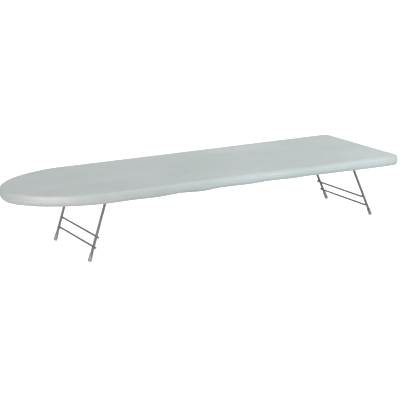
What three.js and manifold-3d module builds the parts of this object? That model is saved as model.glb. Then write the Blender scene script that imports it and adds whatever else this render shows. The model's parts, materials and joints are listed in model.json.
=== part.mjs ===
// Tabletop ironing board: a padded, cloth-covered board on two folding wire leg frames.
// Units are millimetres and +Z is up. The origin lies on the standing surface, below the
// middle of the board. The round nose points to -X and the square end ("tail") to +X.
// Left is the -Y side, as seen from the square end looking at the nose.

import * as THREE from "three";
import { mergeVertices } from "three/addons/utils/BufferGeometryUtils.js";
import Module from "manifold-3d";

const wasm = await Module();
wasm.setup();

// ---------------------------------------------------------------- driving dimensions

const gap = 0.3; // air left between pieces that touch

// Board outline, over the cloth
const boardLength = 956;
const boardWidth = 290; // at the square end
const sideTaper = 7.6; // each long side draws in by this much on its way to the nose
const noseLength = 189; // tip to shoulder
const noseFullness = 1.64; // exponent along the board; 2 would be an ellipse
const cornerRadius = 14; // square end, in plan, over the cloth
const rimCornerRadius = 20; // the same corners, as the rim tube's bend would have them
const edgeRadius = 4; // where top and underside turn into the side
const undersideHeight = 136; // standing surface to cloth

// What the board's thickness is made of, from below
const cloth = 0.8;
const rimTube = 13;
const panelThickness = 1;
const padThickness = 4.2;
const hemWidth = 28; // cloth turned under the board
const elasticWidth = 3;
const elasticHeight = 2.4;

// Wire legs
const legWire = 6; // diameter
const barWire = 4; // diameter of the crossbars
const legHalfSpacing = 88.5;
const legBend = 7; // radius of the wire's centre line
const pivotAboveUnderside = 4.5;
const barPastWire = 2; // crossbar past the centre line of the leg wire
const barHeights = [52, 30]; // upper and lower crossbar above the standing surface

// Hinges
const channelWidth = 44;
const channelWall = 1.4;
const pivotClearance = 0.4;
const saddleOffset = 60; // from the centre line
const saddleLength = 18; // along the pivot
const saddleWall = 1.5;
const saddleFoot = 16; // pivot to the end of the foot
const rivetOffset = 10; // pivot to rivet
const rivetShank = 2; // radius
const rivetHead = 3.4; // radius
const rivetDome = 1.4; // height of a head
const crownRadius = 0.6; // a head's flat crown, as a share of the head's radius
const crownHeight = 0.8; // where a head's crown begins, as a share of its dome
const upsetRadius = 0.85; // the upset head's shoulder, as a share of the head's radius
const upsetHeight = 0.7; // the upset head's height, as a share of the dome
const lugWidth = 12;
const lugWall = 1.5;
const lugReach = 12; // pivot to the lug's lower edge, along the leg
const lugDrop = 0.6; // a lug's upper edge below the web, before its tilt takes it into the web

// Storage clips
const railWidth = 26;
const railWall = 1.3;
const clipWall = 0.5;
const clipHalfLength = 11;
const clipWidth = 10;
const clipMouth = 2.4; // half the gap between the fingers
const clipFinger = 4.6; // base to the fingers' tips
const clipFlare = 1.6; // how far the tips spread
const clipRivetOffset = 7;
const clipRivetShank = 1.5;
const clipRivetHead = 2.6;
const clipRivetDome = 0.9;

// Foot caps
const capRadius = 4.3;
const capLength = 17;
const capFloor = 4; // under the wire's end
const capRound = 2; // at the foot's edge
const capFlat = 0.5; // depth pressed flat where it stands
const capLipHeight = 1; // bevel round the mouth
const capLipWidth = 0.6;

// The two ends of the board. outward is the way the feet splay.
const ends = [
  { name: "nose", outward: -1, pivotX: -278.1, splay: THREE.MathUtils.degToRad(17.4) },
  { name: "tail", outward: 1, pivotX: 372.9, splay: THREE.MathUtils.degToRad(26.4) },
];
const sides = [
  { name: "left", sign: -1 },
  { name: "right", sign: 1 },
];

// Facets
const noseSteps = 28;
const cornerSteps = 5;
const wireSides = 10;
const bendSteps = 5;
const turnedSides = 14;

// ---------------------------------------------------------------- heights that follow

const rimBottom = undersideHeight + cloth + gap;
const rimTop = rimBottom + rimTube;
const panelBottom = rimTop + gap;
const padBottom = panelBottom + panelThickness + gap;
const padTop = padBottom + padThickness;
const coverTop = padTop + gap + cloth;
const rimInset = cloth + gap;
const pivotHeight = undersideHeight + pivotAboveUnderside;
const wireRadius = legWire / 2;
const barRadius = barWire / 2;
const barOffset = wireRadius + barRadius + gap; // crossbar centre to leg wire centre
const webBottom = wireRadius + pivotClearance; // hinge channel above the pivot
const webTop = webBottom + channelWall;
const railBottom = rimTop - railWall;

// ---------------------------------------------------------------- materials

function finish(color, roughness, metalness) {
  return () => new THREE.MeshStandardMaterial({ color, roughness, metalness });
}
const finishes = {
  coverCloth: finish(0xb9c4c1, 0.55, 0.1),
  padFelt: finish(0xd9d6cc, 0.95, 0),
  elastic: finish(0xe6e6e2, 0.8, 0),
  whiteSteel: finish(0xd8dadb, 0.4, 0.6),
  legSteel: finish(0x77797b, 0.38, 0.85),
  rivetSteel: finish(0xa9abad, 0.35, 0.9),
  springSteel: finish(0x8d9093, 0.3, 0.9),
  capVinyl: finish(0x85878a, 0.25, 0),
};

// ---------------------------------------------------------------- solids

function solidFrom(geometry) {
  const bare = geometry.clone();
  bare.deleteAttribute("normal");
  bare.deleteAttribute("uv");
  const merged = mergeVertices(bare, 1e-4);
  const corners = merged.index.array;
  const triangles = [];
  for (let i = 0; i < corners.length; i += 3) {
    const [a, b, c] = [corners[i], corners[i + 1], corners[i + 2]];
    if (a !== b && b !== c && c !== a) triangles.push(a, b, c);
  }
  return new wasm.Manifold(
    new wasm.Mesh({
      numProp: 3,
      vertProperties: new Float32Array(merged.attributes.position.array),
      triVerts: new Uint32Array(triangles),
    }),
  );
}

function geometryFrom(solid) {
  const mesh = solid.getMesh();
  const geometry = new THREE.BufferGeometry();
  geometry.setAttribute("position", new THREE.BufferAttribute(mesh.vertProperties, 3));
  geometry.setIndex(new THREE.BufferAttribute(mesh.triVerts, 1));
  geometry.computeVertexNormals();
  return geometry;
}

function joined(geometry, ...more) {
  return geometryFrom(more.reduce((solid, other) => solid.add(solidFrom(other)), solidFrom(geometry)));
}

function cut(geometry, ...tools) {
  return geometryFrom(tools.reduce((solid, tool) => solid.subtract(solidFrom(tool)), solidFrom(geometry)));
}

// A profile drawn in X and Z, given its length along Y and centred on Y = 0.
function profileAlongY(points, length) {
  const shape = new THREE.Shape(points.map(([x, z]) => new THREE.Vector2(x, z)));
  const geometry = new THREE.ExtrudeGeometry(shape, { depth: length, bevelEnabled: false });
  return geometry.rotateX(Math.PI / 2).translate(0, length / 2, 0);
}

// A profile of radius and height turned about the Z axis.
function turned(points) {
  const profile = points.map(([radius, z]) => new THREE.Vector2(radius, z));
  return new THREE.LatheGeometry(profile, turnedSides).rotateX(Math.PI / 2);
}

function drill(x, y, radius) {
  const reach = 60;
  const tool = new THREE.CylinderGeometry(radius, radius, reach, turnedSides);
  return tool.rotateX(Math.PI / 2).translate(x, y, 0);
}

// ---------------------------------------------------------------- board outline

const shoulderX = -boardLength / 2 + noseLength;
const tailX = boardLength / 2;
const shoulderHalfWidth = boardWidth / 2 - sideTaper;

// Half the board's width at x, over the cloth.
function halfWidthAt(x) {
  if (x < shoulderX) {
    const along = (shoulderX - x) / noseLength;
    return shoulderHalfWidth * Math.sqrt(1 - along ** noseFullness);
  }
  return shoulderHalfWidth + (sideTaper * (x - shoulderX)) / (tailX - shoulderX);
}

// The outline drawn in from the board's edge by inset, anticlockwise from the square end.
function boardOutline(inset, corner = cornerRadius) {
  const radius = Math.max(corner - inset, edgeRadius);
  const centreX = tailX - inset - radius;
  const centreY = boardWidth / 2 - inset - radius;
  const points = [];
  const addCorner = (y, from) => {
    for (let i = 0; i <= cornerSteps; i += 1) {
      const turn = from + (i / cornerSteps) * (Math.PI / 2);
      points.push(new THREE.Vector2(centreX + radius * Math.cos(turn), y + radius * Math.sin(turn)));
    }
  };
  addCorner(-centreY, -Math.PI / 2);
  addCorner(centreY, 0);
  for (let i = 0; i <= noseSteps; i += 1) {
    const turn = Math.PI / 2 - (i / noseSteps) * Math.PI;
    const along = (noseLength - inset) * Math.cos(turn) ** (2 / noseFullness);
    points.push(new THREE.Vector2(shoulderX - along, (shoulderHalfWidth - inset) * Math.sin(turn)));
  }
  return points;
}

// A slab of the board's outline with rounded edges, or a ring where holeInset is given.
function boardSlab({ inset, holeInset, corner, bottom, top, round = 0, roundSteps = 2 }) {
  const shape = new THREE.Shape(boardOutline(inset, corner));
  if (holeInset) shape.holes.push(new THREE.Path(boardOutline(holeInset, corner)));
  const geometry = new THREE.ExtrudeGeometry(shape, {
    depth: top - bottom - 2 * round,
    bevelEnabled: round > 0,
    bevelSize: round,
    bevelThickness: round,
    bevelOffset: -round,
    bevelSegments: roundSteps,
  });
  return geometry.translate(0, 0, bottom + round);
}

// ---------------------------------------------------------------- board pieces

function coverGeometry() {
  const outside = boardSlab({
    inset: 0,
    bottom: undersideHeight,
    top: coverTop,
    round: edgeRadius,
    roundSteps: 3,
  });
  const inside = boardSlab({
    inset: cloth,
    bottom: undersideHeight + cloth,
    top: coverTop - cloth,
    round: edgeRadius - cloth,
    roundSteps: 3,
  });
  const below = 5; // the cut starts this far outside the cloth
  const mouth = boardSlab({ inset: hemWidth, bottom: undersideHeight - below, top: rimBottom });
  return cut(outside, inside, mouth);
}

function padGeometry() {
  const padEdge = 2; // keeps the pad inside the cloth's rounded edge
  return boardSlab({ inset: padEdge, bottom: padBottom, top: padTop, round: padEdge });
}

function hemElasticGeometry() {
  return boardSlab({
    inset: hemWidth + gap,
    holeInset: hemWidth + gap + elasticWidth,
    bottom: undersideHeight,
    top: undersideHeight + elasticHeight,
  });
}

function rimGeometry() {
  return boardSlab({
    inset: rimInset,
    holeInset: rimInset + rimTube,
    corner: rimCornerRadius,
    bottom: rimBottom,
    top: rimTop,
    round: rimTube / 3,
  });
}

function panelGeometry() {
  const panelInset = rimInset + rimTube / 4; // lands on the upper side of the rim tube
  return boardSlab({
    inset: panelInset,
    corner: rimCornerRadius,
    bottom: panelBottom,
    top: panelBottom + panelThickness,
  });
}

// Clear length between the two sides of the rim for a crosspiece of some width at x.
function spanAt(x, width) {
  const narrow = Math.min(halfWidthAt(x - width / 2), halfWidthAt(x + width / 2));
  return 2 * (narrow - rimInset - rimTube - gap);
}

// ---------------------------------------------------------------- hinge pieces
// These are drawn about the pivot, which lies along Y through their origin.

function lugGeometry(end, side) {
  const top = webBottom - lugDrop;
  const lug = new THREE.BoxGeometry(lugWall, lugWidth, lugReach + top);
  const outerFace = wireRadius + pivotClearance + lugWall / 2;
  lug.translate(end.outward * outerFace, 0, (top - lugReach) / 2);
  return lug.rotateY(-end.outward * end.splay).translate(0, side.sign * legHalfSpacing, 0);
}

// An upward-open channel under the panel, with a stop lug outside each leg wire.
function hingeChannelGeometry(end) {
  const half = channelWidth / 2;
  const flangeTop = rimTop - pivotHeight;
  const channel = profileAlongY(
    [
      [-half, webBottom],
      [half, webBottom],
      [half, flangeTop],
      [half - channelWall, flangeTop],
      [half - channelWall, webTop],
      [-half + channelWall, webTop],
      [-half + channelWall, flangeTop],
      [-half, flangeTop],
    ],
    spanAt(end.pivotX, channelWidth),
  );
  const withLugs = joined(channel, ...sides.map((side) => lugGeometry(end, side)));
  const holes = sides.flatMap((side) =>
    [-rivetOffset, rivetOffset].map((x) => drill(x, side.sign * saddleOffset, rivetShank + gap)),
  );
  return cut(withLugs, ...holes);
}

// A strap bent round the underside of the pivot wire, with a flat foot on each side.
function saddleGeometry() {
  const inner = wireRadius + gap;
  const outer = inner + saddleWall;
  const footTop = webBottom - gap;
  const footBottom = footTop - saddleWall;
  const arcSteps = 6;
  const arc = (radius, from, to) => {
    const points = [];
    for (let i = 0; i <= arcSteps; i += 1) {
      const turn = from + (i / arcSteps) * (to - from);
      points.push([radius * Math.cos(turn), radius * Math.sin(turn)]);
    }
    return points;
  };
  const strap = profileAlongY(
    [
      [-saddleFoot, footTop],
      [-saddleFoot, footBottom],
      [-outer, footBottom],
      ...arc(outer, Math.PI, 2 * Math.PI),
      [outer, footBottom],
      [saddleFoot, footBottom],
      [saddleFoot, footTop],
      [inner, footTop],
      ...arc(inner, 2 * Math.PI, Math.PI),
      [-inner, footTop],
    ],
    saddleLength,
  );
  return cut(strap, ...[-rivetOffset, rivetOffset].map((x) => drill(x, 0, rivetShank + gap)));
}

// A rivet through a stack from bottom to top, with a domed head below. It is upset to a
// second head above, or where flush is set it ends level with the top of the stack.
function rivetGeometry({ shank, head, dome, bottom, top, flush = false }) {
  const low = bottom - gap;
  const high = flush ? top : top + gap;
  const upset = [
    [head * upsetRadius, high],
    [head * crownRadius, high + dome * upsetHeight],
    [0, high + dome * upsetHeight],
  ];
  return turned([
    [0, low - dome],
    [head * crownRadius, low - dome * crownHeight],
    [head, low],
    [shank, low],
    [shank, high],
    ...(flush ? [[0, high]] : upset),
  ]);
}

// ---------------------------------------------------------------- storage clip pieces
// Drawn about the place where the lower crossbar lies when the leg is folded away.

function crossRailGeometry(x) {
  const rail = new THREE.BoxGeometry(railWidth, spanAt(x, railWidth), railWall);
  const holes = [-clipRivetOffset, clipRivetOffset].map((at) => drill(at, 0, clipRivetShank + gap));
  return cut(rail, ...holes);
}

// A flat spring base with two fingers lanced down from it; the origin is on the base's top.
function clipGeometry() {
  const profile = [
    [-clipHalfLength, 0],
    [-clipHalfLength, -clipWall],
    [-clipMouth - clipWall, -clipWall],
    [-clipMouth - clipWall, -clipFinger + clipFlare],
    [-clipMouth - clipWall - clipFlare, -clipFinger],
    [-clipMouth - clipFlare, -clipFinger],
    [-clipMouth, -clipFinger + clipFlare],
    [-clipMouth, -clipWall],
  ];
  const mirrored = profile.map(([x, z]) => [-x, z]).reverse();
  const clip = profileAlongY([...profile, ...mirrored], clipWidth);
  const holes = [-clipRivetOffset, clipRivetOffset].map((at) => drill(at, 0, clipRivetShank + gap));
  return cut(clip, ...holes);
}

// ---------------------------------------------------------------- leg pieces
// Drawn about the pivot, with the leg wires pointing down local -Z.

// Wire that runs straight between corners and turns each one on a round bend. Its knots lie
// only at the wire's ends and round the bends, and each step of the path is one knot.
class BentWire extends THREE.Curve {
  constructor(corners, bendRadius) {
    super();
    this.knots = [corners[0]];
    for (let i = 1; i < corners.length - 1; i += 1) {
      const corner = corners[i];
      const back = corners[i - 1].clone().sub(corner).normalize();
      const ahead = corners[i + 1].clone().sub(corner).normalize();
      const centre = corner.clone().addScaledVector(back, bendRadius).addScaledVector(ahead, bendRadius);
      for (let step = 0; step <= bendSteps; step += 1) {
        const turn = (step / bendSteps) * (Math.PI / 2);
        const knot = centre.clone().addScaledVector(ahead, -bendRadius * Math.cos(turn));
        this.knots.push(knot.addScaledVector(back, -bendRadius * Math.sin(turn)));
      }
    }
    this.knots.push(corners.at(-1));
    this.steps = this.knots.length - 1;
  }

  getPointAt(u, target = new THREE.Vector3()) {
    return target.copy(this.knots[Math.round(u * this.steps)]);
  }

  getTangentAt(u, target = new THREE.Vector3()) {
    const index = Math.round(u * this.steps);
    const before = this.knots[Math.max(index - 1, 0)];
    const after = this.knots[Math.min(index + 1, this.steps)];
    const here = this.knots[index];
    const incoming = here.clone().sub(before).normalize();
    return target.subVectors(after, here).normalize().add(incoming).normalize();
  }
}

// Distance from the pivot to the foot cap's end, so that capFlat of it meets the floor.
function capEndDistance(end) {
  const { splay } = end;
  const lowest = pivotHeight + capFlat;
  return (lowest - capRound - (capRadius - capRound) * Math.sin(splay)) / Math.cos(splay) + capRound;
}

function legFrameGeometry(end) {
  const wireEnd = -(capEndDistance(end) - capFloor - gap);
  const path = new BentWire(
    [
      new THREE.Vector3(0, -legHalfSpacing, wireEnd),
      new THREE.Vector3(0, -legHalfSpacing, 0),
      new THREE.Vector3(0, legHalfSpacing, 0),
      new THREE.Vector3(0, legHalfSpacing, wireEnd),
    ],
    legBend,
  );
  const section = new THREE.Shape().absarc(0, 0, wireRadius, 0, 2 * Math.PI);
  return new THREE.ExtrudeGeometry(section, {
    steps: path.steps,
    curveSegments: wireSides,
    extrudePath: path,
  });
}

function crossbarGeometry() {
  const length = 2 * (legHalfSpacing + barPastWire);
  return new THREE.CylinderGeometry(barRadius, barRadius, length, wireSides);
}

// Distance from the pivot down the leg to a crossbar at some height.
function barDistance(end, height) {
  return (pivotHeight - height) / Math.cos(end.splay);
}

// A thick cup pushed over the wire's end, pressed flat where it stands on the floor.
function footCapGeometry(end, leg, y) {
  const bore = wireRadius + gap;
  const edge = [];
  const roundSteps = 3;
  for (let i = 0; i <= roundSteps; i += 1) {
    const turn = (i / roundSteps) * (Math.PI / 2);
    edge.push([
      capRadius - capRound + capRound * Math.sin(turn),
      capRound - capRound * Math.cos(turn),
    ]);
  }
  const cup = turned([
    [0, 0],
    ...edge,
    [capRadius, capLength - capLipHeight],
    [capRadius - capLipWidth, capLength],
    [bore, capLength],
    [bore, capFloor],
    [0, capFloor],
  ]);
  cup.translate(0, y, -capEndDistance(end));
  const size = 400;
  const floor = new THREE.BoxGeometry(size, size, size).translate(end.pivotX, 0, -size / 2);
  leg.updateMatrix();
  return cut(cup, floor.applyMatrix4(leg.matrix.clone().invert()));
}

// ---------------------------------------------------------------- assembly

const ironingBoard = new THREE.Group();

function add(parent, name, geometry, makeMaterial, x = 0, y = 0, z = 0) {
  const mesh = new THREE.Mesh(geometry, makeMaterial());
  mesh.name = name;
  mesh.position.set(x, y, z);
  parent.add(mesh);
  return mesh;
}

function addBoard() {
  add(ironingBoard, "cover", coverGeometry(), finishes.coverCloth);
  add(ironingBoard, "pad", padGeometry(), finishes.padFelt);
  add(ironingBoard, "hem_elastic", hemElasticGeometry(), finishes.elastic);
  add(ironingBoard, "mesh_panel", panelGeometry(), finishes.whiteSteel);
  add(ironingBoard, "rim_frame", rimGeometry(), finishes.whiteSteel);
}

function addHinge(end) {
  const hinge = new THREE.Group();
  hinge.position.set(end.pivotX, 0, pivotHeight);
  ironingBoard.add(hinge);
  add(hinge, `${end.name}_hinge_channel`, hingeChannelGeometry(end), finishes.whiteSteel);
  const rivet = {
    shank: rivetShank,
    head: rivetHead,
    dome: rivetDome,
    bottom: webBottom - gap - saddleWall,
    top: webTop,
  };
  for (const side of sides) {
    const y = side.sign * saddleOffset;
    const label = `${end.name}_saddle_${side.name}`;
    add(hinge, label, saddleGeometry(), finishes.rivetSteel, 0, y);
    [-rivetOffset, rivetOffset].forEach((x, i) => {
      add(hinge, `${label}_rivet_${i + 1}`, rivetGeometry(rivet), finishes.rivetSteel, x, y);
    });
  }
}

function addClip(end) {
  const x = end.pivotX - end.outward * barDistance(end, barHeights[1]);
  const clipTop = railBottom - gap;
  const rail = crossRailGeometry(x);
  add(ironingBoard, `${end.name}_cross_rail`, rail, finishes.whiteSteel, x, 0, railBottom + railWall / 2);
  add(ironingBoard, `${end.name}_storage_clip`, clipGeometry(), finishes.springSteel, x, 0, clipTop);
  const rivet = {
    shank: clipRivetShank,
    head: clipRivetHead,
    dome: clipRivetDome,
    bottom: clipTop - clipWall,
    top: rimTop,
    flush: true,
  };
  [-clipRivetOffset, clipRivetOffset].forEach((at, i) => {
    const name = `${end.name}_clip_rivet_${i + 1}`;
    add(ironingBoard, name, rivetGeometry(rivet), finishes.rivetSteel, x + at);
  });
}

function addLeg(end) {
  const leg = new THREE.Group();
  leg.position.set(end.pivotX, 0, pivotHeight);
  leg.rotation.y = -end.outward * end.splay;
  ironingBoard.add(leg);
  add(leg, `${end.name}_leg_frame`, legFrameGeometry(end), finishes.legSteel);
  ["upper", "lower"].forEach((place, i) => {
    const name = `${end.name}_${place}_crossbar`;
    const inward = -end.outward * barOffset;
    add(leg, name, crossbarGeometry(), finishes.legSteel, inward, 0, -barDistance(end, barHeights[i]));
  });
  for (const side of sides) {
    const name = `${end.name}_foot_cap_${side.name}`;
    add(leg, name, footCapGeometry(end, leg, side.sign * legHalfSpacing), finishes.capVinyl);
  }
}

addBoard();
for (const end of ends) {
  addHinge(end);
  addClip(end);
  addLeg(end);
}

export default ironingBoard;
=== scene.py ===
import json
import math

import bpy
import numpy as np
from mathutils import Matrix, Vector, noise


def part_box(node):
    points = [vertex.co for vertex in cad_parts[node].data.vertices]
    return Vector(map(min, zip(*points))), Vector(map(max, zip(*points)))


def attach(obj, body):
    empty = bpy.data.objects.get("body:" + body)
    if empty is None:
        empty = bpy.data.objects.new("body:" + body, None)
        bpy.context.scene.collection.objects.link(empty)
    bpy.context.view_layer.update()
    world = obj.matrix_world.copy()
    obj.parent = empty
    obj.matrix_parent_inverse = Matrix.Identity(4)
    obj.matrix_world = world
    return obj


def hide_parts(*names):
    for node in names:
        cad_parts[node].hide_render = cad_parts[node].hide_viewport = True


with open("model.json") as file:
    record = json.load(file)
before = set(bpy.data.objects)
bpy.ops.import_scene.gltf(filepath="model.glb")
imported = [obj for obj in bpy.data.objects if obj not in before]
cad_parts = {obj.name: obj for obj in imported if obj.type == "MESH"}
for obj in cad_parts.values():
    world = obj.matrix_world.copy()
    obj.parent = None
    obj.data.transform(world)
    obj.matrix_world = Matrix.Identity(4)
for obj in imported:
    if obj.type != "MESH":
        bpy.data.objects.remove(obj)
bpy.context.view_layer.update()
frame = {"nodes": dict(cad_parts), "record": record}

# A tabletop ironing board: cloth cover over a felt pad on an expanded steel panel, which lies
# on a tube bent to the outline. Two wire leg frames fold into the recess under the panel.
# Metres. The nose points to -X, the square end ("tail") to +X, and left is the -Y side.

MM = 0.001
SIDES = {"left": -1, "right": 1}
QUARTER = math.pi / 2

# ------------------------------------------------------------------ sizes

# Heights and widths come from the frame; the rest is how the board is made.
COVER_LOW, COVER_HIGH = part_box("cover")
UNDERSIDE = COVER_LOW.z
BOARD_TOP = COVER_HIGH.z
TAIL_X = COVER_HIGH.x
HALF_WIDTH = COVER_HIGH.y
NOSE_LENGTH = 189 * MM
NOSE_FULLNESS = 1.64
SIDE_TAPER = 7.6 * MM
CORNER_RADIUS = 14 * MM
RIM_CORNER_RADIUS = 20 * MM  # the tube can't be bent as tight as the cloth's corner
LEAST_RADIUS = 4 * MM
EDGE_SAMPLES = 4001  # for measuring along half the board's edge
SHOULDER_X = COVER_LOW.x + NOSE_LENGTH
SHOULDER_HALF_WIDTH = HALF_WIDTH - SIDE_TAPER

LEG_SPACING = 88.5 * MM  # from the centre line to a leg wire
LEG_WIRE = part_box("nose_leg_frame")[1].y - LEG_SPACING  # radius
BAR_WIRE = 2 * MM  # radius
LEG_BEND = 7 * MM

RIM_LOW, RIM_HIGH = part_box("rim_frame")
PANEL_LOW, PANEL_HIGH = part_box("mesh_panel")
PAD_LOW, PAD_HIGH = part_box("pad")


class End:
    """One end of the board: where its pivot is and how far its leg frame leans outwards."""

    def __init__(self, name, outward):
        joints = frame["record"]["behaviour"]["joints"]
        joint = next(joint for joint in joints if joint["name"] == f"{name}_leg_fold")
        self.name = name
        self.outward = outward
        self.body = f"{name}_leg"
        self.pivot = Vector(joint["pos_m"])
        self.splay = math.radians(max(joint["range_deg"]) - 90)
        turn = Matrix.Rotation(-outward * self.splay, 4, "Y")
        self.place = Matrix.Translation(self.pivot) @ turn


ENDS = [End("nose", -1), End("tail", 1)]

# ------------------------------------------------------------------ camera, light and floor

CAMERA_PLACE = Vector((-1.3147, -2.1736, 0.7465))
CAMERA_AZIMUTH = math.radians(-31.26)
CAMERA_ELEVATION = math.radians(14.84)
CAMERA_ROLL = math.radians(0.55)
CAMERA_LENS = 102.2


def add_camera():
    data = bpy.data.cameras.new("camera")
    data.lens = CAMERA_LENS
    data.clip_end = 50
    camera = bpy.data.objects.new("camera", data)
    bpy.context.scene.collection.objects.link(camera)
    level = math.cos(CAMERA_ELEVATION)
    back = Vector(
        (
            math.sin(CAMERA_AZIMUTH) * level,
            -math.cos(CAMERA_AZIMUTH) * level,
            math.sin(CAMERA_ELEVATION),
        )
    )
    aim = (-back).to_track_quat("-Z", "Y").to_matrix().to_4x4()
    roll = Matrix.Rotation(CAMERA_ROLL, 4, "Z")
    camera.matrix_world = Matrix.Translation(CAMERA_PLACE) @ aim @ roll
    bpy.context.scene.camera = camera


# name: (place, aim, size, spread in degrees, power, colour)
SOFTBOXES = {
    "left_softbox": ((-1.6, -1.25, 0.35), (-0.6, -0.1, 0.14), (0.6, 0.6), 30, 0.8, (1.0, 0.87, 0.84)),
    "right_softbox": ((0.85, -1.5, 0.3), (0.3, -0.14, 0.14), (0.6, 0.6), 45, 0.88, (0.86, 0.92, 0.97)),
    "top_softbox": ((0.75, 0.0, 1.5), (0.4, 0, 0.15), (1.8, 1.2), 180, 11.1, (1.0, 0.97, 1.0)),
}
SKY = 0.70  # light from the room
TABLE_GLOW = 0.30  # light from the table
SEEN_WHITE = 0.94  # how bright both look, with no more light on them
FLOOR_SIZE = 30
FLOOR_DROP = 0.4 * MM  # below the caps, so that their undersides stay clear of it


def add_softbox(name, place, aim, size, spread, power, color):
    data = bpy.data.lights.new(name, "AREA")
    data.shape = "RECTANGLE"
    data.size, data.size_y = size
    data.spread = math.radians(spread)
    data.energy = power
    data.color = color
    lamp = bpy.data.objects.new(name, data)
    bpy.context.scene.collection.objects.link(lamp)
    lamp.location = place
    lamp.rotation_euler = (Vector(aim) - Vector(place)).to_track_quat("-Z", "Y").to_euler()


def glow(tree, socket, strength):
    """Lights the board by strength, and looks SEEN_WHITE itself."""
    seen = tree.nodes.new("ShaderNodeLightPath").outputs["Is Camera Ray"]
    spread = tree.nodes.new("ShaderNodeMapRange")
    spread.inputs["To Min"].default_value = strength
    spread.inputs["To Max"].default_value = SEEN_WHITE
    tree.links.new(seen, spread.inputs["Value"])
    tree.links.new(spread.outputs["Result"], socket)


def add_studio():
    scene = bpy.context.scene
    scene.view_settings.view_transform = "Standard"
    world = bpy.data.worlds.new("studio")
    world.use_nodes = True
    background = world.node_tree.nodes["Background"]
    background.inputs["Color"].default_value = (1, 1, 1, 1)
    glow(world.node_tree, background.inputs["Strength"], SKY)
    scene.world = world
    for name, settings in SOFTBOXES.items():
        add_softbox(name, *settings)

    bpy.ops.mesh.primitive_plane_add(size=FLOOR_SIZE, location=(0, 0, -FLOOR_DROP))
    floor = bpy.context.object
    floor.name = "floor"
    paper = bpy.data.materials.new("backdrop_paper")
    paper.use_nodes = True
    shader = paper.node_tree.nodes["Principled BSDF"]
    shader.inputs["Base Color"].default_value = (0.4, 0.4, 0.4, 1)
    shader.inputs["Roughness"].default_value = 0.9
    shader.inputs["Emission Color"].default_value = (1, 1, 1, 1)
    glow(paper.node_tree, shader.inputs["Emission Strength"], TABLE_GLOW)
    floor.data.materials.append(paper)


# ------------------------------------------------------------------ finishes


class Finish:
    """A Principled material, and short ways to set it and to add nodes to it."""

    def __init__(self, name, color, roughness, metallic=0.0):
        self.material = bpy.data.materials.new(name)
        self.material.use_nodes = True
        self.tree = self.material.node_tree
        self.shader = self.tree.nodes["Principled BSDF"]
        self.shader.inputs["Base Color"].default_value = (*color, 1)
        self.shader.inputs["Roughness"].default_value = roughness
        self.shader.inputs["Metallic"].default_value = metallic
        self.bump = None

    def node(self, kind, **inputs):
        made = self.tree.nodes.new(kind)
        for name, value in inputs.items():
            self.feed(made.inputs[name.replace("_", " ")], value)
        return made

    def feed(self, socket, value):
        if isinstance(value, bpy.types.NodeSocket):
            self.tree.links.new(value, socket)
        else:
            socket.default_value = value

    def set(self, name, value):
        self.feed(self.shader.inputs[name], value)

    def object_place(self):
        return self.node("ShaderNodeTexCoord").outputs["Object"]

    def uv_place(self):
        return self.node("ShaderNodeUVMap").outputs["UV"]

    def noise(self, place, scale, detail=3.0, roughness=0.5, stretch=(1, 1, 1)):
        mapping = self.node("ShaderNodeMapping", Vector=place, Scale=stretch)
        texture = self.node(
            "ShaderNodeTexNoise",
            Vector=mapping.outputs["Vector"],
            Scale=scale,
            Detail=detail,
            Roughness=roughness,
        )
        return texture.outputs["Fac"]

    def math(self, operation, a, b=0.0):
        made = self.tree.nodes.new("ShaderNodeMath")
        made.operation = operation
        self.feed(made.inputs[0], a)
        self.feed(made.inputs[1], b)
        return made.outputs[0]

    def ramp(self, value, low, high, dark, light):
        """Colours from dark to light as value goes from low to high."""
        made = self.tree.nodes.new("ShaderNodeValToRGB")
        made.color_ramp.elements[0].position = low
        made.color_ramp.elements[0].color = (*dark, 1)
        made.color_ramp.elements[1].position = high
        made.color_ramp.elements[1].color = (*light, 1)
        self.feed(made.inputs["Fac"], value)
        return made.outputs["Color"]

    def spread(self, value, low, high):
        """A number between low and high as value goes from 0 to 1."""
        made = self.tree.nodes.new("ShaderNodeMapRange")
        self.feed(made.inputs["Value"], value)
        made.inputs["To Min"].default_value = low
        made.inputs["To Max"].default_value = high
        return made.outputs["Result"]

    def raise_by(self, height, distance, strength=1.0):
        made = self.tree.nodes.new("ShaderNodeBump")
        made.inputs["Strength"].default_value = strength
        made.inputs["Distance"].default_value = distance
        self.feed(made.inputs["Height"], height)
        if self.bump:
            self.feed(made.inputs["Normal"], self.bump)
        self.bump = made.outputs["Normal"]
        self.set("Normal", self.bump)

    def weave(self, pitch):
        """Height of a plain weave over the piece's UV map, which is in metres of flat cloth."""
        place = self.uv_place()
        split = self.node("ShaderNodeSeparateXYZ", Vector=place)
        turn = math.pi / pitch
        warp = self.math("SINE", self.math("MULTIPLY", split.outputs["X"], turn))
        weft = self.math("SINE", self.math("MULTIPLY", split.outputs["Y"], turn))
        crossing = self.math("MULTIPLY", warp, weft)
        return self.math("ABSOLUTE", crossing)


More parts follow.
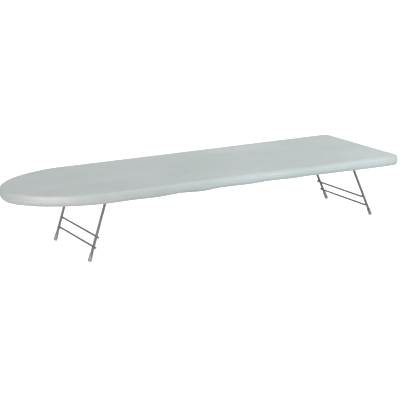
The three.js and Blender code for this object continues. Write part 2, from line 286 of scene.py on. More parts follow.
def cover_cloth_finish():
    """Cotton with a silver-grey metallised coat: a plain weave with slubs in its threads, and
    faint clouds where the coat lies thicker."""
    cloth = Finish("cover_cloth", (0.48, 0.53, 0.52), 0.5, 0.25)
    place = cloth.object_place()
    flat = cloth.uv_place()
    cloud = cloth.noise(place, 6.0, 4.0, 0.55, (0.7, 2.0, 1.6))
    warp = cloth.noise(flat, 260.0, 2.0, 0.6, (1, 0.06, 1))
    weft = cloth.noise(flat, 260.0, 2.0, 0.6, (0.06, 1, 1))
    threads = cloth.math("ADD", warp, weft)
    tone = cloth.math("ADD", cloth.math("MULTIPLY", cloud, 0.8), cloth.math("MULTIPLY", threads, 0.2))
    color = cloth.ramp(tone, 0.42, 0.78, (0.436, 0.496, 0.482), (0.520, 0.568, 0.560))
    cloth.set("Base Color", color)
    grain = cloth.noise(place, 900.0, 2.0)
    cloth.set("Roughness", cloth.spread(grain, 0.42, 0.56))
    cloth.set("Sheen Weight", 0.04)
    cloth.set("Sheen Roughness", 0.4)
    cloth.set("Specular IOR Level", 0.25)
    cloth.raise_by(cloth.weave(0.5 * MM), 0.06 * MM, 0.7)
    cloth.raise_by(threads, 0.12 * MM, 0.5)
    cloth.raise_by(cloth.noise(place, 55.0, 3.0, 0.5, (0.5, 1, 1)), 0.6 * MM, 0.2)
    return cloth.material


def pad_felt_finish():
    felt = Finish("pad_felt", (0.72, 0.70, 0.65), 0.95)
    place = felt.object_place()
    fibres = felt.noise(place, 420.0, 6.0, 0.7, (1, 1.8, 1))
    felt.set("Base Color", felt.ramp(fibres, 0.3, 0.7, (0.60, 0.58, 0.53), (0.78, 0.76, 0.71)))
    felt.raise_by(fibres, 0.5 * MM, 0.8)
    return felt.material


def elastic_finish():
    elastic = Finish("hem_elastic", (0.80, 0.80, 0.78), 0.8)
    elastic.raise_by(elastic.weave(0.8 * MM), 0.15 * MM)
    return elastic.material


def thread_finish():
    thread = Finish("sewing_thread", (0.66, 0.68, 0.67), 0.7)
    twist = thread.noise(thread.object_place(), 1500.0, 2.0)
    thread.set("Base Color", thread.ramp(twist, 0.3, 0.7, (0.58, 0.60, 0.59), (0.72, 0.74, 0.73)))
    thread.raise_by(twist, 0.1 * MM)
    return thread.material


def coated_steel_finish(name, dark, light, low_rough, high_rough, gloss=0.5):
    """A sprayed and baked coat on steel, with a fine orange peel and small wear marks."""
    coat = Finish(name, light, low_rough, 0.15)
    place = coat.object_place()
    patches = coat.noise(place, 60.0, 5.0, 0.6)
    coat.set("Base Color", coat.ramp(patches, 0.35, 0.65, dark, light))
    worn = coat.spread(coat.noise(place, 140.0), low_rough, high_rough)
    coat.set("Roughness", worn)
    coat.set("Specular IOR Level", gloss)
    coat.raise_by(coat.noise(place, 900.0, 2.0), 0.05 * MM, 0.5)
    return coat.material


def zinc_finish():
    zinc = Finish("zinc_plate", (0.60, 0.61, 0.62), 0.32, 1.0)
    place = zinc.object_place()
    spangle = zinc.noise(place, 350.0, 3.0)
    zinc.set("Base Color", zinc.ramp(spangle, 0.3, 0.7, (0.50, 0.51, 0.52), (0.66, 0.67, 0.68)))
    zinc.set("Roughness", zinc.spread(spangle, 0.24, 0.42))
    return zinc.material


def spring_steel_finish():
    spring = Finish("spring_steel", (0.36, 0.37, 0.39), 0.3, 1.0)
    place = spring.object_place()
    streaks = spring.noise(place, 500.0, 4.0, 0.6, (1, 0.1, 1))
    spring.set("Roughness", spring.spread(streaks, 0.2, 0.42))
    return spring.material


def cap_vinyl_finish():
    """Soft grey vinyl, dipped: glossy and a little clear."""
    vinyl = Finish("cap_vinyl", (0.36, 0.37, 0.38), 0.13)
    place = vinyl.object_place()
    cloud = vinyl.noise(place, 160.0, 3.0)
    vinyl.set("Base Color", vinyl.ramp(cloud, 0.3, 0.7, (0.31, 0.32, 0.33), (0.40, 0.41, 0.42)))
    vinyl.set("Transmission Weight", 0.25)
    vinyl.set("IOR", 1.5)
    vinyl.raise_by(vinyl.noise(place, 300.0, 2.0), 0.08 * MM, 0.4)
    return vinyl.material


COVER_CLOTH = cover_cloth_finish()
PAD_FELT = pad_felt_finish()
ELASTIC = elastic_finish()
THREAD = thread_finish()
FRAME_COAT = coated_steel_finish("frame_coat", (0.30, 0.31, 0.32), (0.36, 0.37, 0.38), 0.38, 0.5)
LEG_COAT = coated_steel_finish("leg_coat", (0.17, 0.171, 0.174), (0.21, 0.211, 0.215), 0.42, 0.55, 0.2)
ZINC = zinc_finish()
SPRING_STEEL = spring_steel_finish()
CAP_VINYL = cap_vinyl_finish()

# ------------------------------------------------------------------ ways of modelling


def only(piece):
    bpy.ops.object.select_all(action="DESELECT")
    piece.select_set(True)
    bpy.context.view_layer.objects.active = piece


def edit(piece):
    only(piece)
    bpy.ops.object.mode_set(mode="EDIT")
    bpy.ops.mesh.select_mode(type="VERT")


def leave_edit():
    bpy.ops.object.mode_set(mode="OBJECT")


def select_all(action="SELECT"):
    bpy.ops.mesh.select_all(action=action)


def select_open_edges():
    select_all("DESELECT")
    bpy.ops.mesh.select_mode(type="EDGE")
    bpy.ops.mesh.select_non_manifold()


def leave_closed():
    """Turns all faces outwards and leaves edit mode."""
    select_all()
    bpy.ops.mesh.normals_make_consistent(inside=False)
    leave_edit()


def extrude_by(x=0.0, y=0.0, z=0.0):
    bpy.ops.mesh.extrude_region_move(TRANSFORM_OT_translate={"value": (x, y, z)})


def rod_ring(radius, sides=24):
    """A bare circle of edges, all selected, in edit mode."""
    bpy.ops.mesh.primitive_circle_add(vertices=sides, radius=radius, fill_type="NOTHING")
    piece = bpy.context.object
    edit(piece)
    select_all()
    return piece


def turned_by(angle, centre, axis="Z"):
    """Turns what is selected anticlockwise; without a window the operator turns the other way."""
    bpy.ops.transform.rotate(value=-angle, orient_axis=axis, center_override=centre)


def fill_open_ends():
    select_open_edges()
    bpy.ops.mesh.edge_face_add()


def apply_modifier(piece, kind, **settings):
    only(piece)
    modifier = piece.modifiers.new(kind.lower(), kind)
    for name, value in settings.items():
        setattr(modifier, name, value)
    bpy.ops.object.modifier_apply(modifier=modifier.name)


def finished(piece, name, material, body, *nodes, smooth=35):
    """Names a piece, gives it its finish, and sets it riding in place of the CAD nodes."""
    piece.name = name
    piece.data.name = name
    piece.data.materials.clear()
    piece.data.materials.append(material)
    only(piece)
    bpy.ops.object.shade_smooth_by_angle(angle=math.radians(smooth))
    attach(piece, body)
    if nodes:
        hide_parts(*nodes)


def from_faces(name, points, faces):
    mesh = bpy.data.meshes.new(name)
    mesh.from_pydata([tuple(p) for p in points], [], faces)
    mesh.validate()
    piece = bpy.data.objects.new(name, mesh)
    bpy.context.scene.collection.objects.link(piece)
    return piece


# ------------------------------------------------------------------ board outline


def half_outline(turns, inset, corner=CORNER_RADIUS):
    """Points from the middle of the square end round by +Y to the nose tip, as turns goes
    from 0 to 4: half the end, its corner, the long side and half the nose."""
    radius = max(corner - inset, LEAST_RADIUS)
    corner_x = TAIL_X - inset - radius
    corner_y = HALF_WIDTH - inset - radius
    along = np.clip(turns - 2, 0, 1)
    bend = np.clip(turns - 1, 0, 1) * QUARTER
    around = np.clip(turns - 3, 0, 1) * QUARTER
    shoulder_y = SHOULDER_HALF_WIDTH - inset
    nose = (NOSE_LENGTH - inset) * np.sin(around) ** (2 / NOSE_FULLNESS)
    x = corner_x + radius * np.cos(bend) + along * (SHOULDER_X - corner_x) - nose
    side_y = (corner_y + radius * np.sin(bend)) * (1 - along) + along * shoulder_y
    side_or_nose = np.where(turns < 3, side_y, shoulder_y * np.cos(around))
    y = np.where(turns < 1, turns * corner_y, side_or_nose)
    return np.stack([x, y], axis=1)


def even_turns(count):
    """count + 1 values of turns, evenly spaced along half the board's edge."""
    dense = np.linspace(0, 4, EDGE_SAMPLES)
    points = half_outline(dense, 0)
    steps = np.linalg.norm(np.diff(points, axis=0), axis=1)
    length = np.concatenate([[0], np.cumsum(steps)])
    return np.interp(np.linspace(0, length[-1], count + 1), length, dense)


def outline(count, inset, corner=CORNER_RADIUS):
    """2 * count points round the whole board, anticlockwise from the middle of the square end."""
    half = half_outline(even_turns(count), inset, corner)
    other = half[1:-1][::-1] * [1, -1]
    return np.concatenate([half, other])


def edge_facts(count):
    """For each outline point: distance along the edge, outward direction and curvature."""
    ring = outline(count, 0)
    ahead = np.roll(ring, -1, axis=0) - ring
    behind = ring - np.roll(ring, 1, axis=0)
    tangent = ahead + behind
    tangent /= np.linalg.norm(tangent, axis=1)[:, None]
    outward = np.stack([tangent[:, 1], -tangent[:, 0]], axis=1)
    step = np.linalg.norm(ahead, axis=1)
    length = np.concatenate([[0], np.cumsum(step)[:-1]])
    heading = np.unwrap(np.arctan2(ahead[:, 1], ahead[:, 0]))
    bend = np.diff(heading, append=heading[0] + 2 * math.pi) / step
    return length, outward, np.maximum(bend, 0)


def patch(loop, across, along):
    """Fills a loop of 2 * (across + along) points with a grid that follows its four sides."""
    total = len(loop)
    half = across // 2
    i = np.arange(along + 1)
    j = np.arange(across + 1)
    tail = loop[(j - half) % total]
    nose = loop[(total // 2 + half - j) % total]
    right = loop[(half + i) % total]
    left = loop[(-half - i) % total]
    u = (i / along)[:, None, None]
    v = (j / across)[None, :, None]
    grid = (1 - u) * tail[None] + u * nose[None] + (1 - v) * left[:, None] + v * right[:, None]
    grid -= (1 - u) * (1 - v) * tail[0] + (1 - u) * v * tail[-1]
    grid -= u * (1 - v) * nose[0] + u * v * nose[-1]
    return grid


def patch_border(across, along):
    """Grid places (i, j) in the order of the loop that patch was given."""
    half = across // 2
    border = [(0, j) for j in range(half, across + 1)]
    border += [(i, across) for i in range(1, along + 1)]
    border += [(along, j) for j in range(across - 1, -1, -1)]
    border += [(i, 0) for i in range(along - 1, -1, -1)]
    border += [(0, j) for j in range(1, half)]
    return border


# ------------------------------------------------------------------ cloth cover

TOP_ACROSS = 48
TOP_ALONG = 160
BORDER_INSET = 12 * MM  # where the top's grid gives way to the skirt
FINE = 3  # skirt points for each point of the top's border
TOP_TURN = Vector((4.5, 9)) * MM  # how far in, and how far down, the top turns into the side
LOW_TURN = Vector((6, 8)) * MM  # the same where the side turns under
HEM_INSET = 27.5 * MM  # where the hem's casing is sewn
CASING = Vector((2.3, 1.6)) * MM  # half width and half height of the casing
PLEAT = 12.5 * MM
DEEPEST_PLEAT = 2.6 * MM
TIP_CREASE = 6.5 * MM  # between the slack creases that run round the nose's tip
CREASE_DEPTH = 0.4 * MM
CREASES_FROM = 10 * MM  # behind the tip, where the creases are deepest
CREASES_TO = 60 * MM  # behind the tip, where they have run out
CLOTH = 0.5 * MM
# How many steps each part of the skirt's section has, from the top to the hem
TOP_TURN_STEPS = 10
SIDE_STEPS = 3
LOW_TURN_STEPS = 9
UNDER_STEPS = 8
CASING_STEPS = 7
HEM_STATION = 3 + TOP_TURN_STEPS + SIDE_STEPS + LOW_TURN_STEPS + UNDER_STEPS


def skirt_section():
    """(inset, height, slack) down the cloth's section, from the top's border to the hem's end.
    slack is how free of the board the cloth is: 0 on the top, 1 at the hem."""
    flat_insets = (9.5 * MM, 7.5 * MM, TOP_TURN.x + 1 * MM)
    stations = [(inset, BOARD_TOP, 0) for inset in flat_insets]
    for k in range(TOP_TURN_STEPS + 1):
        turn = k / TOP_TURN_STEPS * QUARTER
        drop = TOP_TURN.y * (1 - math.cos(turn))
        stations.append((TOP_TURN.x * (1 - math.sin(turn)), BOARD_TOP - drop, 0.02 * k))
    side_top = BOARD_TOP - TOP_TURN.y
    side_low = UNDERSIDE + LOW_TURN.y
    for k in range(1, SIDE_STEPS + 1):
        down = k / SIDE_STEPS
        stations.append((0, side_top + down * (side_low - side_top), 0.2 + 0.2 * down))
    for k in range(1, LOW_TURN_STEPS + 1):
        turn = k / LOW_TURN_STEPS * QUARTER
        drop = LOW_TURN.y * math.sin(turn)
        stations.append((LOW_TURN.x * (1 - math.cos(turn)), side_low - drop, 0.4 + 0.04 * k))
    for k in range(1, UNDER_STEPS + 1):
        under = k / UNDER_STEPS
        inset = LOW_TURN.x + under * (HEM_INSET - LOW_TURN.x)
        stations.append((inset, UNDERSIDE, 0.76 + 0.24 * under))
    for k in range(1, CASING_STEPS + 1):
        turn = -QUARTER + k / CASING_STEPS * math.pi
        inset = HEM_INSET + CASING.x + CASING.x * math.cos(turn)
        stations.append((inset, UNDERSIDE + CASING.y + CASING.y * math.sin(turn), 1))
    stations.append((HEM_INSET - 0.5 * MM, UNDERSIDE + 1.2 * MM, 1))
    stations.append((HEM_INSET - 3 * MM, UNDERSIDE + 0.7 * MM, 1))
    return stations


def top_swell(x, y):
    """Height of the soft, slightly uneven pad felt through the cloth."""
    broad = noise.noise(Vector((x * 9, y * 14, 3.1)))
    drawn = noise.noise(Vector((x * 5 + y * 3, y * 38, 7.7)))
    return 0.35 * MM * broad + 0.16 * MM * drawn


# How far the cloth hangs below the board along its left side: (x, drop), in millimetres. It
# is slack at both ends, and in a few places between them.
LEFT_HANG = [
    (-478, 4.2), (-445, 3.1), (-390, 2.3), (-325, 1.7), (-240, 1.2), (-182, 2.3),
    (-125, 0.4), (-68, 2.8), (-15, 0.1), (45, 1.3), (105, 0.2), (178, 1.7),
    (215, 1.1), (300, 2.4), (400, 3.6), (478, 3.3),
]


def smooth_step(value):
    value = np.clip(value, 0, 1)
    return value * value * (3 - 2 * value)


def left_hang(x):
    where, drop = np.array(LEFT_HANG).T * MM
    nearest = np.clip(np.searchsorted(where, x) - 1, 0, len(where) - 2)
    along = (x - where[nearest]) / (where[nearest + 1] - where[nearest])
    return drop[nearest] + smooth_step(along) * (drop[nearest + 1] - drop[nearest])


def edge_noise(length, waves, seed):
    """Smooth noise for each outline point, with so many waves to the metre of edge."""
    return np.array([noise.noise(Vector((s * waves, seed, 0))) for s in length])


def edge_hang(ring, length):
    """The lower edge's drop for each outline point: the left side's, and gentler waves on the
    right, where they fade into each other round the two ends."""
    slow = edge_noise(length, 13, 5.2)
    quick = edge_noise(length, 30, 9.4)
    ends = smooth_step((np.abs(ring[:, 0]) - 0.26) / 0.18)
    right = (1.2 + 0.9 * slow + 0.5 * quick + 1.8 * ends) * MM
    share = smooth_step(0.5 + ring[:, 1] / (0.5 * HALF_WIDTH))
    return left_hang(ring[:, 0]) * (1 - share) + right * share


def smoothed_round(values, window):
    """Means over window neighbours each way, round a closed ring."""
    padded = np.concatenate([values[-window:], values, values[:window]])
    width = 2 * window + 1
    return np.convolve(padded, np.ones(width) / width, "valid")


def pleat_depth(bend, path, inset):
    """How deep the pleats are that take up the cloth a curved edge leaves to spare."""
    spare = (1 + bend * max(path, 0)) / np.maximum(1 - bend * inset, 0.4) - 1
    depth = PLEAT / math.pi * np.sqrt(np.clip(spare + 0.05, 0, 1)) * 0.8
    return np.minimum(depth, DEEPEST_PLEAT)


def skirt_points(count):
    """Rings of points of the cloth's skirt, and where each point lies on the flat cloth."""
    length, outward, bend = edge_facts(count)
    bend = smoothed_round(bend, count // 16)
    base = outline(count, 0)
    hang = edge_hang(base, length)
    wander = edge_noise(length, 22, 3.7)
    strength = 0.75 + 0.5 * edge_noise(length, 70, 8.1)
    phase = 2 * math.pi * length / PLEAT + 2.6 * edge_noise(length, 55, 0.3)
    pleat = (0.5 + 0.5 * np.sin(phase)) * strength
    curved = smooth_step(bend / 6)
    behind = base[:, 0] - COVER_LOW.x
    tip = smooth_step((CREASES_TO - behind) / (CREASES_TO - CREASES_FROM))
    rings, flat = [], []
    path = 0.0
    previous = (0.0, BOARD_TOP)
    for inset, height, slack in skirt_section():
        if height < BOARD_TOP or previous[1] < BOARD_TOP:
            path += math.hypot(inset - previous[0], height - previous[1])
        previous = (inset, height)
        ring = outline(count, inset)
        beyond = path - TOP_TURN.x if path else -inset
        flat.append(base + outward * beyond)
        level = min(1.0, max(0.0, (UNDERSIDE + LOW_TURN.y - height) / LOW_TURN.y))
        under = pleat_depth(bend, path, inset) * level * smooth_step((slack - 0.74) / 0.2)
        side = (0.1 + 0.75 * curved) * MM * slack ** 1.6 * (1 - level)
        out = side * pleat * 2 + (1 - level) * slack * 0.5 * MM * wander
        crease = math.sin(2 * math.pi * (BOARD_TOP - height) / TIP_CREASE) * (1 - level)
        out = out + CREASE_DEPTH * crease * min(1, 4 * slack) * tip * strength
        x = ring[:, 0] + outward[:, 0] * out
        y = ring[:, 1] + outward[:, 1] * out
        fall = smooth_step((slack - 0.1) / 0.6) * hang
        z = height - fall - under * pleat - level * 0.3 * MM * wander
        if height > BOARD_TOP - 1 * MM:
            z = z + np.array([top_swell(a, b) for a, b in ring])
        rings.append(np.stack([x, y, z], axis=1))
    return rings, flat


def cover_mesh():
    """Points, faces, each point's place on the flat cloth, and the row of the hem's stitches."""
    coarse = TOP_ACROSS + TOP_ALONG
    loop = outline(coarse, BORDER_INSET)
    grid = patch(loop, TOP_ACROSS, TOP_ALONG)
    points = [(x, y, BOARD_TOP + top_swell(x, y)) for x, y in grid.reshape(-1, 2)]
    flat = [tuple(p) for p in grid.reshape(-1, 2)]
    row = TOP_ACROSS + 1
    faces = []
    for i in range(TOP_ALONG):
        for j in range(TOP_ACROSS):
            a = i * row + j
            faces.append((a, a + 1, a + row + 1, a + row))
    rings, cuts = skirt_points(coarse * FINE)
    border = [i * row + j for i, j in patch_border(TOP_ACROSS, TOP_ALONG)]
    total = len(rings[0])
    start = len(points)
    for ring, cut in zip(rings, cuts):
        points.extend(map(tuple, ring))
        flat.extend(map(tuple, cut))
    for k, corner in enumerate(border):
        after = border[(k + 1) % len(border)]
        fine = [start + (FINE * k + n) % total for n in range(FINE + 1)]
        faces.append((corner, *fine, after))
    for r in range(len(rings) - 1):
        inner, outer = start + r * total, start + (r + 1) * total
        for k in range(total):
            after = (k + 1) % total
            faces.append((inner + k, outer + k, outer + after, inner + after))
    return points, faces, flat, rings[HEM_STATION]


def make_cover():
    points, faces, flat, seam = cover_mesh()
    cover = from_faces("cloth_cover", points, faces)
    layer = cover.data.uv_layers.new(name="flat_cloth")
    for loop_corner in cover.data.loops:
        layer.data[loop_corner.index].uv = flat[loop_corner.vertex_index]
    apply_modifier(cover, "SOLIDIFY", thickness=CLOTH, offset=-1)
    finished(cover, "cloth_cover", COVER_CLOTH, "board", "cover", smooth=60)
    make_stitching(seam)


STITCH_PITCH = 4.2 * MM
STITCH_LENGTH = 2.8 * MM
THREAD_RADIUS = 0.3 * MM


def make_stitch():
    """One stitch: a short thread along X whose ends dive into the cloth."""
    stitch = rod_ring(THREAD_RADIUS * 0.4, 6)
    turned_by(QUARTER, (0, 0, 0), "Y")
    for length, scale in ((0.15, 2.5), (0.7, 1.0), (0.15, 0.4)):
        extrude_by(x=length * STITCH_LENGTH)
        bpy.ops.transform.resize(value=(1, scale, scale))
    fill_open_ends()
    leave_closed()
    return stitch


def make_stitching(seam):
    """Running stitches that close the hem's casing, each sunk half into the cloth."""
    loop = np.concatenate([seam, seam[:1]])
    length = np.concatenate([[0], np.cumsum(np.linalg.norm(np.diff(loop, axis=0), axis=1))])
    count = int(length[-1] / STITCH_PITCH)
    first = make_stitch()
    stitches = [first]
    for _ in range(count - 1):
        stitch = bpy.data.objects.new("stitch", first.data.copy())
        bpy.context.scene.collection.objects.link(stitch)
        stitches.append(stitch)
    for k, stitch in enumerate(stitches):
        start, stop = (
            Vector([np.interp(at, length, loop[:, axis]) for axis in range(3)])
            for at in (k * STITCH_PITCH, k * STITCH_PITCH + STITCH_LENGTH)
        )
        lie = (stop - start).to_track_quat("X", "Z").to_matrix().to_4x4()
        stitch.data.transform(Matrix.Translation(start) @ lie)
    only(first)
    for stitch in stitches:
        stitch.select_set(True)
    bpy.ops.object.join()
    finished(first, "hem_stitching", THREAD, "board")


# ------------------------------------------------------------------ pad, panel and rim


HOOP_STEPS = 104  # for half the way round


def make_hoop(half_width, half_height, sides, inset, height, corner):
    """A rod bent round the board's outline: its section is drawn out from point to point,
    turned a little at each, and bridged to its own beginning."""
    loop = [Vector((x, y, height)) for x, y in outline(HOOP_STEPS, inset, corner)]
    hoop = rod_ring(1, sides)
    turned_by(QUARTER, (0, 0, 0), "X")
    bpy.ops.transform.resize(value=(half_width, 1, half_height))
    bpy.ops.transform.translate(value=loop[0])
    heading = QUARTER
    for k in range(1, len(loop)):
        here = loop[k]
        ahead = loop[(k + 1) % len(loop)] - loop[k - 1]
        extrude_by(*(here - loop[k - 1]))
        turn = math.remainder(math.atan2(ahead.y, ahead.x) - heading, 2 * math.pi)
        turned_by(turn, here)
        heading += turn
    select_open_edges()
    bpy.ops.mesh.bridge_edge_loops()
    leave_closed()
    return hoop


def make_rim():
    radius = (RIM_HIGH.z - RIM_LOW.z) / 2
    inset = TAIL_X - RIM_HIGH.x + radius
    rim = make_hoop(radius, radius, 20, inset, RIM_LOW.z + radius, RIM_CORNER_RADIUS)
    finished(rim, "rim_tube", FRAME_COAT, "board", "rim_frame")


def make_elastic():
    inset = HEM_INSET + CASING.x
    tape = make_hoop(1.4 * MM, 0.5 * MM, 8, inset, UNDERSIDE + CASING.y, CORNER_RADIUS)
    finished(tape, "hem_elastic_tape", ELASTIC, "board", "hem_elastic")


def make_pad():
    """A slab of felt with soft edges, built ring by ring from the top's rim to the underside's."""
    edge = 1.9 * MM
    inset = TAIL_X - PAD_HIGH.x
    section = []
    for k in range(5):
        turn = k / 4 * QUARTER
        step_in, drop = edge * (1 - math.sin(turn)), edge * (1 - math.cos(turn))
        section.append((inset + step_in, PAD_HIGH.z - drop))
    for k in range(5):
        turn = k / 4 * QUARTER
        step_in, rise = edge * (1 - math.cos(turn)), edge * (1 - math.sin(turn))
        section.append((inset + step_in, PAD_LOW.z + rise))
    count = 208
    points = [(x, y, z) for step_in, z in section for x, y in outline(count, step_in)]
    total = 2 * count
    faces = [tuple(range(total)), tuple(range(len(points) - total, len(points)))[::-1]]
    for start in range(0, len(points) - total, total):
        for k in range(total):
            after = (k + 1) % total
            faces.append((start + k, start + total + k, start + total + after, start + after))
    pad = from_faces("felt_pad", points, faces)
    finished(pad, "felt_pad", PAD_FELT, "board", "pad")


MESH_LONG = 14 * MM  # diamond, long way across
MESH_SHORT = 7 * MM
STRAND = 1.0 * MM


def inside_outline(x, y, inset):
    if not COVER_LOW.x + inset < x < TAIL_X - inset:
        return False
    if x < SHOULDER_X:
        along = (SHOULDER_X - x) / (NOSE_LENGTH - inset)
        return abs(y) < (SHOULDER_HALF_WIDTH - inset) * math.sqrt(max(0, 1 - along ** NOSE_FULLNESS))
    share = (x - SHOULDER_X) / (TAIL_X - SHOULDER_X)
    return abs(y) < SHOULDER_HALF_WIDTH + SIDE_TAPER * share - inset


def make_panel():
    """Expanded steel: a grid turned to stand on its corners and drawn out into diamonds, kept
    where they land on the rim or inside it, with a strand left along each edge."""
    middle = (PANEL_LOW.z + PANEL_HIGH.z) / 2
    inset = TAIL_X - PANEL_HIGH.x + MESH_LONG / 2
    cells = 2 * math.ceil(TAIL_X / MESH_LONG + HALF_WIDTH / MESH_SHORT)
    across = math.sqrt(2)  # of a cell with sides of 1
    bpy.ops.mesh.primitive_grid_add(x_subdivisions=cells, y_subdivisions=cells, size=cells)
    panel = bpy.context.object
    edit(panel)
    select_all()
    turned_by(QUARTER / 2, (0, 0, 0))
    bpy.ops.transform.resize(value=(MESH_LONG / across, MESH_SHORT / across, 1))
    bpy.ops.transform.translate(value=(0, 0, middle))
    bpy.ops.mesh.select_mode(type="FACE")
    select_all("DESELECT")
    leave_edit()
    for face in panel.data.polygons:
        face.select = not inside_outline(face.center.x, face.center.y, inset)
    bpy.ops.object.mode_set(mode="EDIT")
    bpy.ops.mesh.delete(type="FACE")
    leave_edit()
    apply_modifier(panel, "WIREFRAME", thickness=STRAND, use_replace=True, use_boundary=True)
    finished(panel, "expanded_panel", FRAME_COAT, "board", "mesh_panel", smooth=30)


# ------------------------------------------------------------------ leg frames


def make_leg_frame(end):
    """One wire: up a leg, round a bend, along the pivot, round a bend and down the other leg."""
    low = wire_end(end)
    rod = rod_ring(LEG_WIRE)
    bpy.ops.transform.translate(value=(0, -LEG_SPACING, -low))
    extrude_by(z=low - LEG_BEND)
    bend_centre = LEG_SPACING - LEG_BEND
    bpy.ops.mesh.spin(steps=8, angle=QUARTER, center=(0, -bend_centre, -LEG_BEND), axis=(1, 0, 0))
    extrude_by(y=2 * bend_centre)
    bpy.ops.mesh.spin(steps=8, angle=QUARTER, center=(0, bend_centre, -LEG_BEND), axis=(1, 0, 0))
    extrude_by(z=LEG_BEND - low)
    select_all()
    bpy.ops.mesh.remove_doubles(threshold=0.01 * MM)
    fill_open_ends()
    leave_closed()
    rod.data.transform(end.place)
    finished(rod, f"{end.name}_leg_wire", LEG_COAT, end.body, f"{end.name}_leg_frame")


CAP_FLOOR = 4.3 * MM  # under the wire's end


def cap_end(end):
    """Distance from the pivot down the leg to the cap's end, before it is pressed flat."""
    low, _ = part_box(f"{end.name}_leg_frame")
    centre = (end.pivot.z - low.z - LEG_WIRE * math.sin(end.splay)) / math.cos(end.splay)
    return centre + CAP_FLOOR


def wire_end(end):
    return cap_end(end) - CAP_FLOOR


# (radius, distance above the cap's end) from the bottom of the bore, over the rolled lip and
# down the outside, in millimetres
CAP_PROFILE = [
    (3.08, 4.25), (3.08, 16.4), (3.22, 16.85), (3.55, 17.0), (3.92, 16.88), (4.14, 16.45),
    (4.12, 15.8), (4.0, 14.9), (4.02, 12), (4.15, 8), (4.28, 5), (4.3, 2.8), (4.2, 1.6),
    (3.85, 0.75), (3.2, 0.2), (2.2, 0.0),
]


def make_foot_cap(end, side):
    """A dipped cup pushed over the wire, cut flat where it presses on the floor."""
    first = CAP_PROFILE[0]
    cap = rod_ring(first[0] * MM, 32)
    bpy.ops.transform.translate(value=(0, 0, first[1] * MM))
    previous = first
    for radius, height in CAP_PROFILE[1:]:
        extrude_by(z=(height - previous[1]) * MM)
        scale = radius / previous[0]
        bpy.ops.transform.resize(value=(scale, scale, 1))
        previous = (radius, height)
    fill_open_ends()
    leave_closed()
    cap.data.transform(Matrix.Translation((0, side * LEG_SPACING, -cap_end(end))))
    cap.data.transform(end.place)
    edit(cap)
    select_all()
    bpy.ops.mesh.bisect(plane_co=(0, 0, 0), plane_no=(0, 0, 1), use_fill=True, clear_inner=True)
    leave_edit()
    return cap


WELD_SIZE = (1.9 * MM, 3.2 * MM, 2.6 * MM)  # half of it, along, across and up


def make_crossbar(end, place):
    """A straight wire across the leg wires, with sheared ends and a squeezed weld at each."""
    node = f"{end.name}_{place}_crossbar"
    low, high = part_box(node)
    middle = (low + high) / 2
    bpy.ops.mesh.primitive_cylinder_add(
        vertices=20, radius=BAR_WIRE, depth=high.y - low.y, location=middle, rotation=(QUARTER, 0, 0)
    )
    bar = bpy.context.object
    only(bar)
    bpy.ops.object.transform_apply(location=True, rotation=True, scale=True)
    apply_modifier(bar, "BEVEL", width=0.5 * MM, segments=2, limit_method="ANGLE")
    inward = end.place.to_3x3() @ Vector((-end.outward, 0, 0))
    for side in SIDES.values():
        contact = middle - inward * (BAR_WIRE + 0.1 * MM)
        bpy.ops.mesh.primitive_uv_sphere_add(segments=16, ring_count=10, radius=1, location=(0, 0, 0))
        weld = bpy.context.object
        weld.data.transform(Matrix.Diagonal((*WELD_SIZE, 1)))
        weld.data.transform(Matrix.Rotation(-end.outward * end.splay, 4, "Y"))
        weld.data.transform(Matrix.Translation(contact + Vector((0, side * LEG_SPACING, 0))))
        only(bar)
        union = bar.modifiers.new("weld", "BOOLEAN")
        union.operation = "UNION"
        union.solver = "EXACT"
        union.object = weld
        bpy.ops.object.modifier_apply(modifier="weld")
        bpy.data.objects.remove(weld)
    finished(bar, f"{end.name}_{place}_bar", LEG_COAT, end.body, node)


def make_leg(end):
    make_leg_frame(end)
    for place in ("upper", "lower"):
        make_crossbar(end, place)
    for label, side in SIDES.items():
        cap = make_foot_cap(end, side)
        node = f"{end.name}_foot_cap_{label}"
        finished(cap, f"{end.name}_{label}_cap", CAP_VINYL, end.body, node, smooth=45)


# ------------------------------------------------------------------ hinge and clip pieces


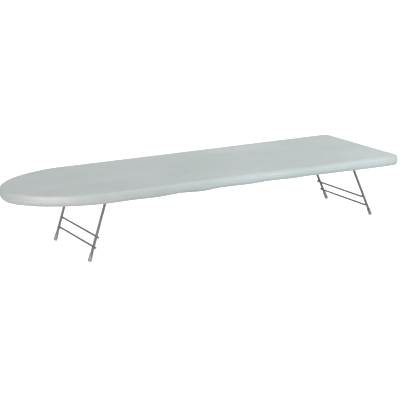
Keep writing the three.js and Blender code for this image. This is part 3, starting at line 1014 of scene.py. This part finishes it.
def dressed_copy(node, name, material, edge):
    """A copy of a CAD node with its flat faces merged and its edges broken."""
    piece = frame["nodes"][node].copy()
    piece.data = piece.data.copy()
    piece.parent = None
    bpy.context.scene.collection.objects.link(piece)
    edit(piece)
    select_all()
    bpy.ops.mesh.remove_doubles(threshold=0.005 * MM)
    bpy.ops.mesh.dissolve_limited(angle_limit=math.radians(1))
    leave_edit()
    apply_modifier(
        piece, "BEVEL", width=edge, segments=2, limit_method="ANGLE", angle_limit=math.radians(40)
    )
    finished(piece, name, material, "board", node)


CLIP_HEAD = 2.6 * MM  # radius of a rivet's head
STRAP_HEAD = 3.4 * MM


def make_rivet(node, name, head_radius):
    """A domed head, a shank, and the upset end above."""
    low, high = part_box(node)
    middle = (low + high) / 2
    dome = 0.28 * head_radius + 0.45 * MM
    rivet = rod_ring(head_radius)
    bpy.ops.transform.translate(value=(middle.x, middle.y, low.z + dome))
    for k in range(1, 6):
        turn = k / 6 * QUARTER
        before = (k - 1) / 6 * QUARTER
        extrude_by(z=-dome * (math.sin(turn) - math.sin(before)))
        scale = math.cos(turn) / math.cos(before)
        bpy.ops.transform.resize(value=(scale, scale, 1))
    bpy.ops.mesh.edge_face_add()
    select_open_edges()
    for scale, height in ((0.58, 0.0), (1.0, high.z - low.z - dome)):
        extrude_by(z=height)
        bpy.ops.transform.resize(value=(scale, scale, 1))
    bpy.ops.mesh.edge_face_add()
    leave_closed()
    finished(rivet, name, ZINC, "board", node)


def make_hinge(end):
    dressed_copy(f"{end.name}_hinge_channel", f"{end.name}_channel", FRAME_COAT, 0.35 * MM)
    dressed_copy(f"{end.name}_cross_rail", f"{end.name}_rail", FRAME_COAT, 0.3 * MM)
    dressed_copy(f"{end.name}_storage_clip", f"{end.name}_clip", SPRING_STEEL, 0.12 * MM)
    for i in (1, 2):
        make_rivet(f"{end.name}_clip_rivet_{i}", f"{end.name}_clip_rivet_head_{i}", CLIP_HEAD)
    for label in SIDES:
        saddle = f"{end.name}_saddle_{label}"
        dressed_copy(saddle, f"{end.name}_{label}_strap", ZINC, 0.3 * MM)
        for i in (1, 2):
            make_rivet(f"{saddle}_rivet_{i}", f"{end.name}_{label}_strap_rivet_{i}", STRAP_HEAD)


# ------------------------------------------------------------------ making it all

bpy.ops.object.select_all(action="DESELECT")
add_camera()
add_studio()
make_cover()
make_pad()
make_rim()
make_elastic()
make_panel()
for end in ENDS:
    make_leg(end)
    make_hinge(end)
